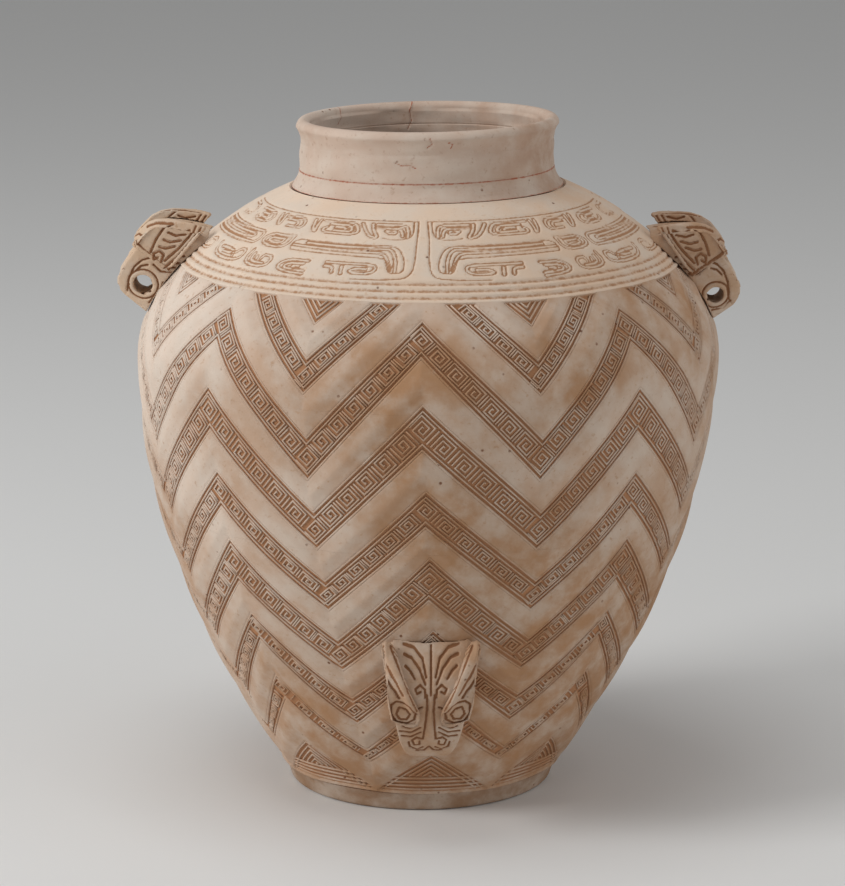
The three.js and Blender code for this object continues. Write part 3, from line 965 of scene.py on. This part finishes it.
# The lines and sizes of the carving, down to the horn's plate, are in millimetres. Cut lines
# seen from above a head, along and across it, for one half of it.
FACE_LINES = [
    [(19, 0), (1, 0)], [(12, 2.2), (6.4, 4), (3.4, 8), (2.4, 13)],
    [(14.6, 2.6), (9.4, 5.4), (6.2, 9), (5.2, 12.6)], [(12.6, 7.6), (10, 9.8), (8.6, 12)],
    [(20.6, 2.6), (16.6, 2.8), (14.8, 5), (16.4, 7.4), (18.6, 6.4), (17.6, 4.8)],
    [(19, 1.8), (28, 1.6), (38, 2.2), (46, 3)],
    [(31, 8), (34, 5.6), (37, 6.2), (39, 9.6), (37.5, 12.6), (34, 13), (31.4, 11), (31, 8)],
    [(38.6, 4.4), (41.6, 8.6), (40.6, 14)], [(41.6, 4.2), (44.4, 8.8), (43.6, 13)],
    [(46, 3), (44.6, 6), (46.6, 8), (49.6, 7), (49, 4.4), (47, 4.6)],
    [(48, 9.6), (51, 9), (53, 5.6), (51.4, 3)], [(51, 0), (54, 2.4), (54, 6)],
    [(26, 4), (28, 8), (27, 12)],
]
# Cut lines seen from the side, along the head and off the wall.
CHEEK_LINES = [
    [(20, 2), (22.6, 7), (22, 12)], [(23, 2), (26, 8), (25.4, 14)], [(26.4, 2.4), (29.4, 7), (29, 12)],
    [(27, 15), (31, 17.6), (36, 18.4), (42, 17), (47, 14.4)], [(31, 14), (33.4, 16), (37, 16.6)],
    [(50, 3), (53, 8), (51.4, 13)], [(53.4, 3), (55.6, 7), (54.6, 11)],
    [(45, 15), (50, 12.8), (54, 12.6)], [(33, 2.6), (36, 1.4), (46, 1.4)], [(16, 3), (18.4, 8), (18, 12)],
]
# Feather cuts and the eye on a horn, along and across.
HORN_LINES = [
    [(0, 19), (10, 13), (20, 8.6), (25, 6.4)], [(2, 16), (11, 10.4), (20, 6), (25, 4.6)],
    [(21, 16), (22.6, 10), (27, 6.8), (32, 7.4), (34.4, 11), (33, 16), (28, 18.6), (23, 18.4), (21, 16)],
    [(24.4, 14.6), (25.8, 11), (29, 9.6), (31.8, 11), (31.6, 14.2), (28.6, 16), (24.4, 14.6)],
    [(6, 20.5), (12, 16), (17, 13)], [(10, 21), (15, 17), (19, 14.6)],
]
# Feather cuts on a horn's flank, along and off the wall.
PLUME_LINES = [
    [(-1, 5.6), (8, 5), (18, 5.2), (27, 7)], [(-1, 8), (7, 7.4), (15, 7.6), (24, 9)],
    [(3, 9.6), (6.4, 13), (7.4, 16.6)], [(7, 9.2), (10.6, 12.6), (11.8, 16.4)],
    [(11, 9.4), (14.8, 12.6), (16, 16)], [(15, 9.6), (18.8, 12.4), (20.2, 15.4)],
    [(25.6, 10), (22, 11.2), (21.6, 14), (24.6, 15.4), (27.2, 13.4), (25, 12.6)],
    [(2, 17.6), (10, 19.6), (18, 19), (25, 17)],
]
HEAD_CUT_WIDTH = 0.75
HEAD_CUT_DEPTH = 0.8
HORN_CUT_WIDTH = 0.7
HORN_CUT_DEPTH = 0.7
EYE_ALONG = 35
EYE_ACROSS = 9.4
MUZZLE_ALONG = 48
MUZZLE_ACROSS = 5.6
HOLE_COLLAR = 2.6
HORN_LENGTH = 27
HORN_PLATE_DROP = 2.0


def near_lines(x, y, lines, width):
    """1 on the lines, falling to 0 a little past the width from them."""
    share = np.zeros_like(x)
    for path in lines:
        for (x0, y0), (x1, y1) in zip(path[:-1], path[1:]):
            distance = from_segment(x - x0, y - y0, x1 - x0, y1 - y0)
            share = np.maximum(share, smooth(1.2 - distance / width))
    return share


def head_carver(hole):
    """A carver for a head: eyes, nose and muzzle swell, lines sink, the cord hole is ringed."""
    hole_along, hole_off, hole_radius = (1000 * value for value in hole)

    def carve(x, y, z, top, flank):
        """How far each point swells, and its relief."""
        y = np.abs(y)
        up = smooth((top - 0.2) / 0.4)
        beside = smooth((np.abs(flank) - 0.45) / 0.3)
        lines = near_lines(x, y, FACE_LINES, HEAD_CUT_WIDTH) * up
        cheeks = near_lines(x, z, CHEEK_LINES, HEAD_CUT_WIDTH) * beside
        from_hole = np.hypot(x - hole_along, z - hole_off) - hole_radius
        ring = smooth(1.2 - np.abs(from_hole - HOLE_COLLAR) / 0.7) * beside
        eye = smooth(1 - np.hypot((x - EYE_ALONG) / 4.6, (y - EYE_ACROSS) / 4)) * up
        pupil = smooth(1 - np.hypot(x - EYE_ALONG, y - EYE_ACROSS) / 1.2) * up
        nose = smooth(1 - y / 1.8) * smooth((x - 16) / 4) * smooth((46 - x) / 4) * up
        muzzle = smooth(1 - np.hypot((x - MUZZLE_ALONG) / 6, (y - MUZZLE_ACROSS) / 4)) * up
        cut = np.maximum(np.maximum(lines, cheeks), ring)
        swell = 1.1 * eye - 0.7 * pupil + 0.8 * nose + 0.7 * muzzle - HEAD_CUT_DEPTH * cut
        return swell, np.clip(0.95 - 0.95 * cut - 0.4 * pupil, 0, 1)

    return carve


def carve_horn(x, y, z, top, flank):
    """A thin plate with one full ridge that curves from the tip at the wall in to the nose.

    Only the face that looks away from the head's axis sinks, off the ridge.
    """
    beside = smooth((np.abs(flank) - 0.5) / 0.25)
    feathers = near_lines(x, np.abs(y), HORN_LINES, HORN_CUT_WIDTH) * (1 - beside)
    plumes = near_lines(x, z, PLUME_LINES, HORN_CUT_WIDTH) * beside
    cut = np.maximum(feathers, plumes)
    ridge_at = 6 + 14.5 * np.clip(1 - x / HORN_LENGTH, 0, 1) ** 1.3
    ridge = smooth(1.35 - np.abs(np.abs(y) - ridge_at) / 4.2) * smooth((HORN_LENGTH + 2 - x) / 4)
    away = smooth((top * (z - 4) + flank * y) / np.hypot(y, z - 4) / 0.5)
    swell = away * (ridge - HORN_PLATE_DROP * (1 - ridge)) - HORN_CUT_DEPTH * cut
    return swell, np.clip(0.98 - 0.95 * cut - 0.2 * (1 - ridge), 0, 1)


def carved_copy(node, name, lug, carve):
    """The node's solid, remeshed finely, smoothed and then carved.

    Each point goes along its normal by carve(along, across, off, facing up, facing side), which
    works in millimetres in the lug's own frame and also gives the relief.
    """
    solid = bpy.data.objects.new(name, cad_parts[node].data.copy())
    scene.collection.objects.link(solid)
    weld = solid.modifiers.new("weld", "WELD")
    weld.merge_threshold = 0.00001
    remesh = solid.modifiers.new("remesh", "REMESH")
    remesh.mode = "VOXEL"
    remesh.voxel_size = VOXEL
    relax = solid.modifiers.new("relax", "SMOOTH")
    relax.factor = 0.5
    relax.iterations = 6
    made = solid.evaluated_get(bpy.context.evaluated_depsgraph_get())
    mesh = bpy.data.meshes.new_from_object(made)
    bpy.data.objects.remove(solid)
    place = np.empty(len(mesh.vertices) * 3)
    mesh.vertices.foreach_get("co", place)
    place = place.reshape(-1, 3)
    normal = np.empty(len(mesh.vertices) * 3)
    mesh.vertices.foreach_get("normal", normal)
    normal = normal.reshape(-1, 3)

    (r0, z0), (r1, z1) = lug["start"], lug["end"]
    a = radians(lug["turn"])
    out = np.array([np.sin(a), -np.cos(a), 0])
    up = np.array([0, 0, 1.0])
    along = (out * (r1 - r0) + up * (z1 - z0)) / np.hypot(r1 - r0, z1 - z0)
    across = np.array([np.cos(a), np.sin(a), 0])
    off = np.cross(along, across)
    upright = place.copy()
    upright[:, 0] -= LEAN * place[:, 2]
    local = upright - (out * r0 + up * z0)
    x, y, z = (local @ axis * 1000 for axis in (along, across, off))
    swell, relief = carve(x, y, z, normal @ off, normal @ across)
    place += normal * swell[:, None] / 1000
    mesh.vertices.foreach_set("co", place.ravel())
    fix_piece(name, mesh, relief, LUG_CLAY, "lug_clay", node)


for lug_name, lug in LUGS.items():
    carved_copy(lug_name, "carved_" + lug_name, lug, head_carver(lug["hole"]))
    horn_nodes = [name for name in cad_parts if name.startswith(lug_name + "_")]
    for horn_name in sorted(horn_nodes):
        carved_copy(horn_name, "feathered_" + horn_name, lug, carve_horn)
